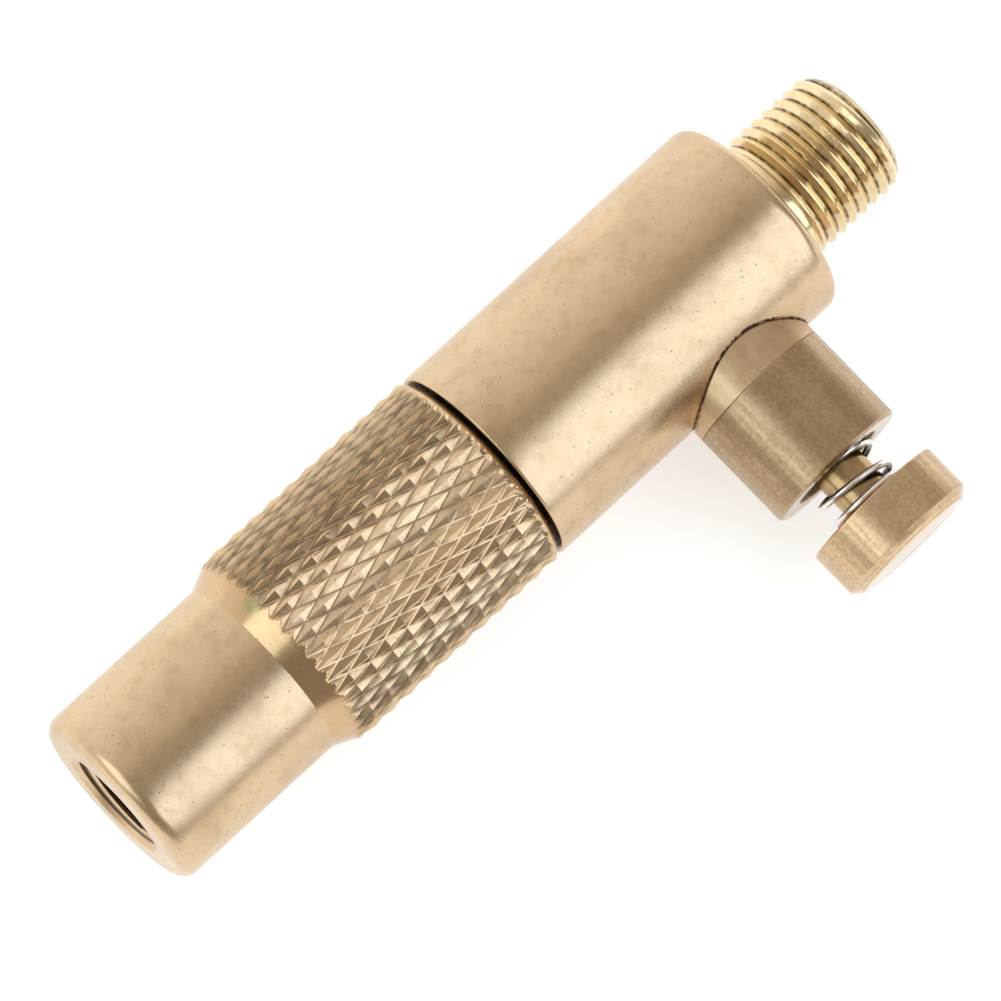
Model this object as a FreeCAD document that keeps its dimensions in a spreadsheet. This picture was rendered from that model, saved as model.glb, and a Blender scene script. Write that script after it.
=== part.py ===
import FreeCAD, Part
import os
import re
import Sketcher
from FreeCAD import Placement, Rotation, Vector

# A brass needle valve with a knurled twist sleeve and a spring-loaded side button.
# The origin is on the main axis, in the shoulder plane that the inlet thread grows from.
# +X runs out of the inlet thread, the nose points to -X, the button to -Y, and +Z is up.
# Screw threads are plain cylinders: at the crest on the male side, and a running
# clearance outside it on the female side of the twist sleeve.

DIMENSIONS = {
    # barrel and the spigot that carries the sleeve
    "barrel_diameter": 16.0,
    "barrel_length": 26.6,
    "shoulder_round": 1.0,
    "rim_chamfer": 0.25,
    "journal_diameter": 11.6,
    "journal_length": 7.6,
    "spigot_thread_diameter": 11.0,
    "spigot_length": 17.4,
    "main_bore_diameter": 6.2,
    # inlet nipple
    "inlet_thread_diameter": 10.0,
    "inlet_thread_length": 9.3,
    "inlet_chamfer": 0.6,
    "inlet_bore_diameter": 5.0,
    "stub_diameter": 8.0,
    "stub_length": 4.5,
    "stub_seal_section": 1.0,
    "stub_seal_mean_diameter": 6.6,
    "filter_diameter": 6.0,
    "filter_thickness": 2.0,
    "filter_recess": 3.0,
    # twist sleeve, measured from its open end
    "sleeve_gap": 0.3,
    "mouth_bevel": 0.4,
    "sleeve_length": 34.3,
    "knurl_diameter": 16.2,
    "knurl_length": 18.3,
    "cone_length": 2.2,
    "nose_diameter": 14.2,
    "nose_round": 1.1,
    "running_gap": 0.05,
    "guide_bore_length": 8.6,
    "seal_groove_start": 2.1,
    "seal_groove_width": 2.0,
    "seal_groove_diameter": 13.6,
    "sleeve_thread_end": 18.6,
    "backup_ring_width": 0.9,
    # needle, its carrier and the lock nut
    "carrier_diameter": 7.4,
    "carrier_depth": 7.5,
    "carrier_thickness": 3.0,
    "flow_hole_diameter": 1.3,
    "flow_hole_circle": 4.7,
    "flow_hole_count": 3,
    "needle_stud_diameter": 2.0,
    "needle_diameter": 2.6,
    "needle_cone_start": 45.2,
    "needle_tip_end": 49.3,
    "needle_tip_diameter": 0.4,
    "nut_across_flats": 4.0,
    "nut_thickness": 1.6,
    "nut_stud_proud": 0.5,
    # seat, its retainer, and the outlet, measured from the sleeve's open end
    "seat_face": 20.1,
    "seat_thickness": 2.4,
    "seat_diameter": 6.6,
    "orifice_diameter": 1.8,
    "retainer_diameter": 8.0,
    "retainer_bore_diameter": 4.0,
    "retainer_slot_width": 1.0,
    "retainer_slot_depth": 0.6,
    "web_hole_diameter": 3.0,
    "web_thickness": 1.2,
    "outlet_thread_diameter": 7.7,
    "outlet_chamfer": 0.4,
    "gasket_diameter": 8.5,
    "gasket_thickness": 1.5,
    # button, measured outwards from the main axis
    "button_station": 8.7,
    "boss_diameter": 10.8,
    "saddle_seam": 8.9,
    "housing_end": 16.7,
    "housing_rim_chamfer": 0.15,
    "housing_spigot_diameter": 8.0,
    "housing_seat": 5.2,
    "cross_bore_floor": 0.8,
    "housing_groove_start": 5.9,
    "housing_seal_section": 0.8,
    "spring_pocket_diameter": 7.1,
    "spring_pocket_depth": 2.5,
    "stem_diameter": 3.8,
    "stem_clearance": 0.2,
    "plunger_head_diameter": 6.4,
    "plunger_head_thickness": 1.7,
    "plunger_head_gap": 0.1,
    "plunger_seal_section": 0.8,
    "plunger_seal_mean_diameter": 5.2,
    "cap_start": 20.1,
    "cap_end": 24.2,
    "cap_chamfer_length": 0.7,
    "cap_chamfer_depth": 0.5,
    "cap_thread_diameter": 3.0,
    "cap_thread_length": 2.9,
    # return spring
    "spring_outer_diameter": 5.9,
    "spring_wire_diameter": 0.45,
    "spring_pitch": 1.6,
    "spring_end_gap": 0.03,
}

# Local X of each family of pieces, as a turn about Z.
TOWARD_NOSE = 180
OUT_OF_INLET = 0
TOWARD_BUTTON = -90

# Where each family's local origin lies along the row's X axis.
AT_SHOULDER = "0"
AT_SLEEVE = "-barrel_length - sleeve_gap"
AT_BUTTON = "-button_station"


def formula(text):
    """Turns a formula of dimension names into one that reads the sheet."""
    return re.sub(r"\b([a-z]+(?:_[a-z]+)+)\b", r"dims.\1", text)


def value(sheet, text):
    """The number that a formula gives now."""
    number = sheet.evalExpression(formula(text))
    return float(getattr(number, "Value", number))


def make_sheet(doc):
    sheet = doc.addObject("Spreadsheet::Sheet", "dims")
    for row, (alias, number) in enumerate(DIMENSIONS.items(), start=1):
        sheet.set(f"A{row}", alias)
        sheet.set(f"B{row}", str(number))
        sheet.setAlias(f"B{row}", alias)
    doc.recompute()
    return sheet


def origin_plane(body, role):
    for feature in body.Origin.OriginFeatures:
        if feature.Role == role:
            return feature
    raise ValueError(role)


def new_body(doc, label, turn, start):
    """A body whose local X points along its family's direction."""
    body = doc.addObject("PartDesign::Body", label)
    body.Label = label
    body.Placement = Placement(Vector(0, 0, 0), Rotation(Vector(0, 0, 1), turn))
    body.setExpression("Placement.Base.x", formula(start))
    return body


def new_sketch(body, name, role):
    sketch = body.newObject("Sketcher::SketchObject", name)
    sketch.AttachmentSupport = (origin_plane(body, role), [""])
    sketch.MapMode = "FlatFace"
    return sketch


def pin_point(sketch, geometry, along, radius):
    """Holds the start of one line at two formulas, or on an axis where one is 0."""
    for axis, kind, text in ((-2, "DistanceX", along), (-1, "DistanceY", radius)):
        if text == "0":
            sketch.addConstraint(Sketcher.Constraint("PointOnObject", geometry, 1, axis))
            continue
        size = value(sketch.Document.dims, text)
        index = sketch.addConstraint(
            Sketcher.Constraint(kind, -1, 1, geometry, 1, size)
        )
        sketch.setExpression(f"Constraints[{index}]", formula(text))


def polygon(sketch, outline):
    """A closed outline of straight lines through points given as formulas."""
    sheet = sketch.Document.dims
    points = [Vector(value(sheet, a), value(sheet, b), 0) for a, b in outline]
    count = len(points)
    for index in range(count):
        following = points[(index + 1) % count]
        sketch.addGeometry(Part.LineSegment(points[index], following), False)
    for index in range(count):
        sketch.addConstraint(
            Sketcher.Constraint("Coincident", index, 2, (index + 1) % count, 1)
        )
    for index, (along, radius) in enumerate(outline):
        pin_point(sketch, index, along, radius)


def circle(sketch, along, across, diameter):
    """A circle whose centre and diameter are formulas."""
    sheet = sketch.Document.dims
    centre = Vector(value(sheet, along), value(sheet, across), 0)
    size = value(sheet, diameter)
    index = sketch.addGeometry(Part.Circle(centre, Vector(0, 0, 1), size / 2), False)
    for axis, kind, text in ((-2, "DistanceX", along), (-1, "DistanceY", across)):
        if text == "0":
            sketch.addConstraint(Sketcher.Constraint("PointOnObject", index, 3, axis))
            continue
        place = sketch.addConstraint(
            Sketcher.Constraint(kind, -1, 1, index, 3, value(sheet, text))
        )
        sketch.setExpression(f"Constraints[{place}]", formula(text))
    across_size = sketch.addConstraint(Sketcher.Constraint("Diameter", index, size))
    sketch.setExpression(f"Constraints[{across_size}]", formula(diameter))


def revolve(body, sketch):
    feature = body.newObject("PartDesign::Revolution", body.Label + "_turning")
    feature.Profile = (sketch, [""])
    feature.ReferenceAxis = (sketch, ["H_Axis"])
    feature.Angle = 360
    body.Document.recompute()
    return feature


def turned(doc, label, outline, turn, start):
    """A lathe-turned piece: an outline of (along, radius) formulas spun about local X."""
    body = new_body(doc, label, turn, start)
    sketch = new_sketch(body, label + "_outline", "XY_Plane")
    polygon(sketch, outline)
    revolve(body, sketch)
    return body


def ring(doc, label, along, mean_diameter, section, turn, start):
    """An O-ring: a round section spun about local X."""
    body = new_body(doc, label, turn, start)
    sketch = new_sketch(body, label + "_section", "XY_Plane")
    circle(sketch, along, f"({mean_diameter}) / 2", section)
    revolve(body, sketch)
    return body


def rims(body, along, diameter):
    """The names of the round edges at one place along the piece."""
    sheet = body.Document.dims
    place = value(sheet, along)
    radius = value(sheet, diameter) / 2
    names = []
    for index, edge in enumerate(body.Tip.Shape.Edges, start=1):
        if not isinstance(edge.Curve, Part.Circle):
            continue
        off_place = abs(edge.Curve.Center.x - place)
        off_radius = abs(edge.Curve.Radius - radius)
        if off_place < 1e-4 and off_radius < 1e-4:
            names.append(f"Edge{index}")
    return names


def dress_rim(body, kind, along, diameter, size_name, size):
    """Adds a fillet or a chamfer to the round edges at one place."""
    base = body.Tip
    edges = rims(body, along, diameter)
    feature = body.newObject(kind, f"{body.Label}_{size_name}")
    feature.Base = (base, edges)
    feature.setExpression(size_name, formula(size))
    body.Tip = feature
    body.Document.recompute()


def round_rim(body, along, diameter, radius):
    dress_rim(body, "PartDesign::Fillet", along, diameter, "Radius", radius)


def bevel_rim(body, along, diameter, size):
    dress_rim(body, "PartDesign::Chamfer", along, diameter, "Size", size)


def pocket(body, sketch, length, reversed_side=False, midplane=False):
    """Cuts a sketch into the body and makes sure that it took something away."""
    before = body.Tip.Shape.Volume
    feature = body.newObject("PartDesign::Pocket", sketch.Label + "_cut")
    feature.Profile = (sketch, [""])
    feature.Reversed = reversed_side
    if midplane:
        feature.SideType = "Symmetric"
    feature.setExpression("Length", formula(length))
    body.Document.recompute()
    if feature.Shape.Volume > before - 1e-3:
        raise ValueError(f"{sketch.Label} cuts nothing")
    return feature


def valve_body(doc):
    """The barrel, bored from both ends, with the journal and spigot for the sleeve."""
    spigot_end = "barrel_length + spigot_length"
    carrier_seat = "barrel_length + spigot_length - carrier_depth"
    stub_floor = "stub_length + stub_seal_section"
    body = turned(
        doc,
        "valve_body",
        [
            ("0", "stub_diameter / 2"),
            ("0", "barrel_diameter / 2"),
            ("barrel_length", "barrel_diameter / 2"),
            ("barrel_length", "journal_diameter / 2"),
            ("barrel_length + journal_length", "journal_diameter / 2"),
            ("barrel_length + journal_length", "spigot_thread_diameter / 2"),
            (spigot_end, "spigot_thread_diameter / 2"),
            (spigot_end, "carrier_diameter / 2"),
            (carrier_seat, "carrier_diameter / 2"),
            (carrier_seat, "main_bore_diameter / 2"),
            (stub_floor, "main_bore_diameter / 2"),
            (stub_floor, "stub_diameter / 2"),
        ],
        TOWARD_NOSE,
        AT_SHOULDER,
    )
    round_rim(body, "0", "barrel_diameter", "shoulder_round")
    bevel_rim(body, "barrel_length", "barrel_diameter", "rim_chamfer")
    bevel_rim(body, spigot_end, "spigot_thread_diameter", "rim_chamfer")
    sketch = new_sketch(body, "cross_bore", "XZ_Plane")
    sketch.setExpression("AttachmentOffset.Base.z", formula("cross_bore_floor"))
    circle(sketch, "button_station", "0", "housing_spigot_diameter")
    pocket(body, sketch, "barrel_diameter")
    return body


def inlet_nipple(doc):
    """The threaded inlet, screwed into the barrel by its stub."""
    end = "inlet_thread_length"
    return turned(
        doc,
        "inlet_nipple",
        [
            ("-stub_length", "inlet_bore_diameter / 2"),
            ("-stub_length", "stub_diameter / 2"),
            ("0", "stub_diameter / 2"),
            ("0", "inlet_thread_diameter / 2"),
            (f"{end} - inlet_chamfer", "inlet_thread_diameter / 2"),
            (end, "inlet_thread_diameter / 2 - inlet_chamfer"),
            (end, "filter_diameter / 2"),
            (f"{end} - filter_recess", "filter_diameter / 2"),
            (f"{end} - filter_recess", "inlet_bore_diameter / 2"),
        ],
        OUT_OF_INLET,
        AT_SHOULDER,
    )


def inlet_filter(doc):
    """A sintered disc pressed into the mouth of the nipple."""
    back = "inlet_thread_length - filter_recess"
    front = back + " + filter_thickness"
    return turned(
        doc,
        "inlet_filter",
        [
            (back, "0"),
            (back, "filter_diameter / 2"),
            (front, "filter_diameter / 2"),
            (front, "0"),
        ],
        OUT_OF_INLET,
        AT_SHOULDER,
    )


def knurled_sleeve(doc):
    """The twist sleeve: guide bore, seal groove, thread, seat pocket and outlet."""
    web = "seat_face + seat_thickness"
    outlet_floor = web + " + web_thickness"
    gasket_top = outlet_floor + " + gasket_thickness"
    thread_radius = "spigot_thread_diameter / 2 + running_gap"
    guide_radius = "journal_diameter / 2 + running_gap"
    groove_end = "seal_groove_start + seal_groove_width"
    body = turned(
        doc,
        "knurled_sleeve",
        [
            ("0", guide_radius),
            ("0", "knurl_diameter / 2"),
            ("knurl_length", "knurl_diameter / 2"),
            ("knurl_length + cone_length", "nose_diameter / 2"),
            ("sleeve_length", "nose_diameter / 2"),
            ("sleeve_length", "outlet_thread_diameter / 2 + outlet_chamfer"),
            ("sleeve_length - outlet_chamfer", "outlet_thread_diameter / 2"),
            (gasket_top, "outlet_thread_diameter / 2"),
            (gasket_top, "gasket_diameter / 2"),
            (outlet_floor, "gasket_diameter / 2"),
            (outlet_floor, "web_hole_diameter / 2"),
            (web, "web_hole_diameter / 2"),
            (web, "seat_diameter / 2"),
            ("seat_face", "seat_diameter / 2"),
            ("seat_face", "retainer_diameter / 2"),
            ("sleeve_thread_end", "retainer_diameter / 2"),
            ("sleeve_thread_end", thread_radius),
            ("guide_bore_length", thread_radius),
            ("guide_bore_length", guide_radius),
            (groove_end, guide_radius),
            (groove_end, "seal_groove_diameter / 2"),
            ("seal_groove_start", "seal_groove_diameter / 2"),
            ("seal_groove_start", guide_radius),
        ],
        TOWARD_NOSE,
        AT_SLEEVE,
    )
    bevel_rim(body, "0", "knurl_diameter", "mouth_bevel")
    round_rim(body, "sleeve_length", "nose_diameter", "nose_round")
    return body


def sleeve_o_ring(doc):
    """The seal in the sleeve's groove, which slides on the journal."""
    section = "(seal_groove_diameter - journal_diameter) / 2 - 2 * running_gap"
    mean = "(seal_groove_diameter + journal_diameter) / 2"
    along = f"seal_groove_start + backup_ring_width + running_gap + ({section}) / 2"
    return ring(doc, "sleeve_o_ring", along, mean, section, TOWARD_NOSE, AT_SLEEVE)


def sleeve_backup_ring(doc):
    """A flat plastic ring behind the seal, on its low-pressure side."""
    start = "seal_groove_start + running_gap"
    end = "seal_groove_start + backup_ring_width"
    inner = "journal_diameter / 2 + running_gap / 2"
    outer = "seal_groove_diameter / 2 - running_gap"
    outline = [(start, inner), (start, outer), (end, outer), (end, inner)]
    return turned(doc, "sleeve_backup_ring", outline, TOWARD_NOSE, AT_SLEEVE)


def needle_carrier(doc):
    """The disc that holds the needle on the axis, with flow holes round it."""
    end = "barrel_length + spigot_length - carrier_depth + carrier_thickness"
    start = "barrel_length + spigot_length - carrier_depth"
    body = turned(
        doc,
        "needle_carrier",
        [
            (start, "needle_stud_diameter / 2"),
            (start, "carrier_diameter / 2"),
            (end, "carrier_diameter / 2"),
            (end, "needle_stud_diameter / 2"),
        ],
        TOWARD_NOSE,
        AT_SHOULDER,
    )
    sketch = new_sketch(body, "flow_hole", "YZ_Plane")
    circle(sketch, "flow_hole_circle / 2", "0", "flow_hole_diameter")
    hole = pocket(body, sketch, "2 * (barrel_length + spigot_length)", True)
    pattern = body.newObject("PartDesign::PolarPattern", "flow_holes")
    pattern.Originals = [hole]
    pattern.Axis = (origin_plane(body, "X_Axis"), [""])
    pattern.Angle = 360
    pattern.setExpression("Occurrences", formula("flow_hole_count"))
    body.Tip = pattern
    doc.recompute()
    return body


def valve_needle(doc):
    """The fixed needle: a threaded stud, a plain shank and a long cone."""
    seat = "barrel_length + spigot_length - carrier_depth"
    stud_start = f"{seat} - nut_thickness - nut_stud_proud"
    shank_start = f"{seat} + carrier_thickness"
    return turned(
        doc,
        "valve_needle",
        [
            (stud_start, "0"),
            (stud_start, "needle_stud_diameter / 2"),
            (shank_start, "needle_stud_diameter / 2"),
            (shank_start, "needle_diameter / 2"),
            ("needle_cone_start", "needle_diameter / 2"),
            ("needle_tip_end", "needle_tip_diameter / 2"),
            ("needle_tip_end", "0"),
        ],
        TOWARD_NOSE,
        AT_SHOULDER,
    )


def needle_lock_nut(doc):
    """The hexagon nut that locks the needle's stud behind the carrier."""
    hexagon = doc.addObject("Part::Prism", "nut_hexagon")
    hexagon.Polygon = 6
    hexagon.setExpression("Circumradius", formula("nut_across_flats / sqrt(3)"))
    hexagon.setExpression("Height", formula("nut_thickness"))
    bore = doc.addObject("Part::Cylinder", "nut_bore")
    bore.setExpression("Radius", formula("needle_stud_diameter / 2"))
    bore.setExpression("Height", formula("nut_thickness"))
    nut = doc.addObject("Part::Cut", "needle_lock_nut")
    nut.Label = "needle_lock_nut"
    nut.Base = hexagon
    nut.Tool = bore
    nut.Placement = Placement(Vector(0, 0, 0), Rotation(Vector(0, 1, 0), 90))
    nut.setExpression(
        "Placement.Base.x", formula("carrier_depth - barrel_length - spigot_length")
    )
    return nut


def valve_seat(doc):
    """The plastic seat: a short orifice that opens out behind the sealing edge."""
    end = "seat_face + seat_thickness"
    throat = "seat_face + seat_thickness / 3"
    return turned(
        doc,
        "valve_seat",
        [
            ("seat_face", "orifice_diameter / 2"),
            ("seat_face", "seat_diameter / 2"),
            (end, "seat_diameter / 2"),
            (end, "web_hole_diameter / 2"),
            (throat, "orifice_diameter / 2"),
        ],
        TOWARD_NOSE,
        AT_SLEEVE,
    )


def seat_retainer(doc):
    """The threaded ring that holds the seat down, slotted for a two-pin driver."""
    start = "sleeve_thread_end"
    body = turned(
        doc,
        "seat_retainer",
        [
            (start, "retainer_bore_diameter / 2"),
            (start, "retainer_diameter / 2"),
            ("seat_face", "retainer_diameter / 2"),
            ("seat_face", "retainer_bore_diameter / 2"),
        ],
        TOWARD_NOSE,
        AT_SLEEVE,
    )
    sketch = new_sketch(body, "driver_slot", "XY_Plane")
    top = "retainer_diameter"
    floor = f"{start} + retainer_slot_depth"
    polygon(sketch, [(start, f"-{top}"), (floor, f"-{top}"), (floor, top), (start, top)])
    pocket(body, sketch, "retainer_slot_width", midplane=True)
    return body


def outlet_gasket(doc):
    """The rubber washer in the undercut at the bottom of the outlet thread."""
    start = "seat_face + seat_thickness + web_thickness"
    end = start + " + gasket_thickness"
    return turned(
        doc,
        "outlet_gasket",
        [
            (start, "web_hole_diameter / 2"),
            (start, "gasket_diameter / 2"),
            (end, "gasket_diameter / 2"),
            (end, "web_hole_diameter / 2"),
        ],
        TOWARD_NOSE,
        AT_SLEEVE,
    )


def saddle_ring(doc):
    """The collar between the barrel and the housing, hollowed to sit on the barrel."""
    body = turned(
        doc,
        "saddle_ring",
        [
            ("housing_seat", "housing_spigot_diameter / 2"),
            ("housing_seat", "boss_diameter / 2"),
            ("saddle_seam", "boss_diameter / 2"),
            ("saddle_seam", "housing_spigot_diameter / 2"),
        ],
        TOWARD_BUTTON,
        AT_BUTTON,
    )
    sketch = new_sketch(body, "barrel_hollow", "XZ_Plane")
    circle(sketch, "0", "0", "barrel_diameter")
    pocket(body, sketch, "2 * boss_diameter", midplane=True)
    return body


def button_housing(doc):
    """The button's housing, screwed through the collar into the barrel."""
    stem_bore = "stem_diameter / 2 + stem_clearance"
    spring_floor = "housing_end - spring_pocket_depth"
    groove_end = "housing_groove_start + housing_seal_section"
    groove_radius = "housing_spigot_diameter / 2 - housing_seal_section"
    body = turned(
        doc,
        "button_housing",
        [
            ("housing_seat", stem_bore),
            ("housing_seat", "housing_spigot_diameter / 2"),
            ("housing_groove_start", "housing_spigot_diameter / 2"),
            ("housing_groove_start", groove_radius),
            (groove_end, groove_radius),
            (groove_end, "housing_spigot_diameter / 2"),
            ("saddle_seam", "housing_spigot_diameter / 2"),
            ("saddle_seam", "boss_diameter / 2"),
            ("housing_end", "boss_diameter / 2"),
            ("housing_end", "spring_pocket_diameter / 2"),
            (spring_floor, "spring_pocket_diameter / 2"),
            (spring_floor, stem_bore),
        ],
        TOWARD_BUTTON,
        AT_BUTTON,
    )
    bevel_rim(body, "housing_end", "boss_diameter", "housing_rim_chamfer")
    return body


def button_plunger(doc):
    """The stem and its inner head, with a face groove for the seal."""
    head_face = "housing_seat - plunger_head_gap"
    head_back = f"{head_face} - plunger_head_thickness"
    groove_floor = f"{head_face} - plunger_seal_section + plunger_head_gap / 2"
    groove_inner = "(plunger_seal_mean_diameter - plunger_seal_section) / 2"
    groove_outer = "(plunger_seal_mean_diameter + plunger_seal_section) / 2"
    stud_end = "cap_start + cap_thread_length"
    return turned(
        doc,
        "button_plunger",
        [
            (head_back, "0"),
            (head_back, "plunger_head_diameter / 2"),
            (head_face, "plunger_head_diameter / 2"),
            (head_face, groove_outer),
            (groove_floor, groove_outer),
            (groove_floor, groove_inner),
            (head_face, groove_inner),
            (head_face, "stem_diameter / 2"),
            ("cap_start", "stem_diameter / 2"),
            ("cap_start", "cap_thread_diameter / 2"),
            (stud_end, "cap_thread_diameter / 2"),
            (stud_end, "0"),
        ],
        TOWARD_BUTTON,
        AT_BUTTON,
    )


def button_cap(doc):
    """The push button, screwed onto the end of the stem."""
    hole_end = "cap_start + cap_thread_length"
    return turned(
        doc,
        "button_cap",
        [
            ("cap_start", "cap_thread_diameter / 2"),
            ("cap_start", "boss_diameter / 2"),
            ("cap_end - cap_chamfer_length", "boss_diameter / 2"),
            ("cap_end", "boss_diameter / 2 - cap_chamfer_depth"),
            ("cap_end", "0"),
            (hole_end, "0"),
            (hole_end, "cap_thread_diameter / 2"),
        ],
        TOWARD_BUTTON,
        AT_BUTTON,
    )


def return_spring(doc):
    """The round-wire coil spring between the pocket floor and the cap."""
    body = new_body(doc, "return_spring", TOWARD_BUTTON, AT_BUTTON)
    sketch = new_sketch(body, "wire_section", "XY_Plane")
    floor = "housing_end - spring_pocket_depth"
    start = f"{floor} + spring_wire_diameter / 2"
    mean = "(spring_outer_diameter - spring_wire_diameter) / 2"
    circle(sketch, start, mean, "spring_wire_diameter")
    coil = body.newObject("PartDesign::AdditiveHelix", "coil")
    coil.Profile = (sketch, [""])
    coil.ReferenceAxis = (sketch, ["H_Axis"])
    coil.Mode = "pitch-height-angle"
    coil.setExpression("Pitch", formula("spring_pitch"))
    rise = f"cap_start - ({floor}) - spring_wire_diameter - spring_end_gap"
    coil.setExpression("Height", formula(rise))
    doc.recompute()
    return body


def stub_o_ring(doc):
    """The face seal between the nipple's stub and the floor of its hole."""
    along = "stub_length + stub_seal_section / 2"
    section = "stub_seal_section"
    mean = "stub_seal_mean_diameter"
    return ring(doc, "nipple_o_ring", along, mean, section, TOWARD_NOSE, AT_SHOULDER)


def housing_o_ring(doc):
    """The seal round the housing's spigot, inside the cross bore."""
    along = "housing_groove_start + housing_seal_section / 2"
    mean = "housing_spigot_diameter - housing_seal_section"
    section = "housing_seal_section"
    return ring(doc, "housing_o_ring", along, mean, section, TOWARD_BUTTON, AT_BUTTON)


def plunger_o_ring(doc):
    """The seal in the plunger's head, which closes on the housing's inner face."""
    along = "housing_seat - plunger_head_gap / 2 - plunger_seal_section / 2"
    mean = "plunger_seal_mean_diameter"
    section = "plunger_seal_section"
    return ring(doc, "plunger_o_ring", along, mean, section, TOWARD_BUTTON, AT_BUTTON)


def check(doc, pieces):
    """Stops on a failed object or a sub-part that is not one valid solid."""
    for thing in doc.Objects:
        if "Invalid" in thing.State or "Error" in thing.State:
            raise ValueError(f"{thing.Label} failed: {thing.State}")
    for piece in pieces:
        shape = piece.Shape
        if shape.isNull() or not shape.isValid() or len(shape.Solids) != 1:
            raise ValueError(f"{piece.Label} is not one valid solid")


def main():
    doc = FreeCAD.newDocument("needle_valve")
    make_sheet(doc)
    makers = [
        valve_body,
        inlet_nipple,
        inlet_filter,
        stub_o_ring,
        knurled_sleeve,
        sleeve_o_ring,
        sleeve_backup_ring,
        needle_carrier,
        valve_needle,
        needle_lock_nut,
        valve_seat,
        seat_retainer,
        outlet_gasket,
        saddle_ring,
        button_housing,
        housing_o_ring,
        button_plunger,
        plunger_o_ring,
        return_spring,
        button_cap,
    ]
    pieces = [make(doc) for make in makers]
    doc.recompute()
    check(doc, pieces)
    os.makedirs("parts", exist_ok=True)
    for piece in pieces:
        piece.Shape.exportStep(f"parts/{piece.Label}.step")
        box = piece.Shape.BoundBox
        print(
            f"{piece.Label}: {piece.Shape.Volume:.1f} mm3,",
            f"x {box.XMin:.2f} to {box.XMax:.2f},",
            f"y {box.YMin:.2f} to {box.YMax:.2f},",
            f"z {box.ZMin:.2f} to {box.ZMax:.2f}",
        )


main()
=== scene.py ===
import math

import bmesh
import bpy
import numpy as np
from mathutils import Matrix, Vector


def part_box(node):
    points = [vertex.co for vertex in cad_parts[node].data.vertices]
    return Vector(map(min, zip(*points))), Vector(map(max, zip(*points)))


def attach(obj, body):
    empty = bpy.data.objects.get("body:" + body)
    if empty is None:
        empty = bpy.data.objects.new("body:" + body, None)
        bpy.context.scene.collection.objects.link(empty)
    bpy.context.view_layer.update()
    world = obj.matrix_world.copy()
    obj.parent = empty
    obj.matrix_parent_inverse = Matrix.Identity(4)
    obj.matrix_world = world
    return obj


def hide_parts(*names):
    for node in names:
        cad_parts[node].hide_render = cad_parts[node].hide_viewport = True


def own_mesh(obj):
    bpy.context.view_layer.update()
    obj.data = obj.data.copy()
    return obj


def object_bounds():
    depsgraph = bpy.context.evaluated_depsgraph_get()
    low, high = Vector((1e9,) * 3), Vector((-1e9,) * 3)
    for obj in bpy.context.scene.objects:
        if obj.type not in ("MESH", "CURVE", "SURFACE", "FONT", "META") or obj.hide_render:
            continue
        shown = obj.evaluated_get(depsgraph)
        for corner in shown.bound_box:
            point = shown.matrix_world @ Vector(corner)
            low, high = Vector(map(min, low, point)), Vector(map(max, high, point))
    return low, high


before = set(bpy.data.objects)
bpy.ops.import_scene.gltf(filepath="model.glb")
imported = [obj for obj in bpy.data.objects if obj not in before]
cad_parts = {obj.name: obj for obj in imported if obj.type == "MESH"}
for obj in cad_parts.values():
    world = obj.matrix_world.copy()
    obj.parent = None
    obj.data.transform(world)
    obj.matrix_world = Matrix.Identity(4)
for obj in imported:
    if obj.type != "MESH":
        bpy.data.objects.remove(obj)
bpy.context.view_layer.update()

# Lengths in this script are millimetres until a mesh is made, when MM turns them into metres.
MM = 0.001
TURN = 2 * math.pi


# ---------------------------------------------------------------- sizes from the frame

def reach(node, axis):
    """The node's lowest and highest coordinate along one axis, in millimetres."""
    low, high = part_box(node)
    return low[axis] / MM, high[axis] / MM


BARREL_END = reach("valve_body", 0)[0]
SLEEVE_END, SLEEVE_START = reach("knurled_sleeve", 0)
SLEEVE_LENGTH = SLEEVE_START - SLEEVE_END
KNURL_RADIUS = reach("knurled_sleeve", 2)[1]
BARREL_RADIUS = reach("valve_body", 2)[1]
STUB_END, THREAD_END = reach("inlet_nipple", 0)
THREAD_RADIUS = reach("inlet_nipple", 2)[1]
BOSS_LOW, BOSS_HIGH = reach("button_cap", 0)
BUTTON_X = (BOSS_LOW + BOSS_HIGH) / 2
BOSS_RADIUS = (BOSS_HIGH - BOSS_LOW) / 2
HOUSING_END, HOUSING_SEAT = (-y for y in reach("button_housing", 1))
SADDLE_SEAM = -reach("saddle_ring", 1)[0]
CAP_END, CAP_START = (-y for y in reach("button_cap", 1))
STUD_END, PLUNGER_BACK = (-y for y in reach("button_plunger", 1))
SPRING_TOP, SPRING_FLOOR = (-y for y in reach("return_spring", 1))
SPRING_RADIUS = reach("return_spring", 2)[1]
SEAT_FACE = SLEEVE_START - reach("valve_seat", 0)[1]
SEAT_END = SLEEVE_START - reach("valve_seat", 0)[0]
SEAT_RADIUS = reach("valve_seat", 2)[1]
RETAINER_RADIUS = reach("seat_retainer", 2)[1]
RETAINER_START = SLEEVE_START - reach("seat_retainer", 0)[1]
GASKET_END, GASKET_START = (SLEEVE_START - x for x in reach("outlet_gasket", 0))
GASKET_RADIUS = reach("outlet_gasket", 2)[1]
CARRIER_SEAT = -reach("needle_carrier", 0)[1]
CARRIER_RADIUS = reach("needle_carrier", 2)[1]
FILTER_RADIUS = reach("inlet_filter", 2)[1]
FILTER_BACK = reach("inlet_filter", 0)[0]

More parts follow.
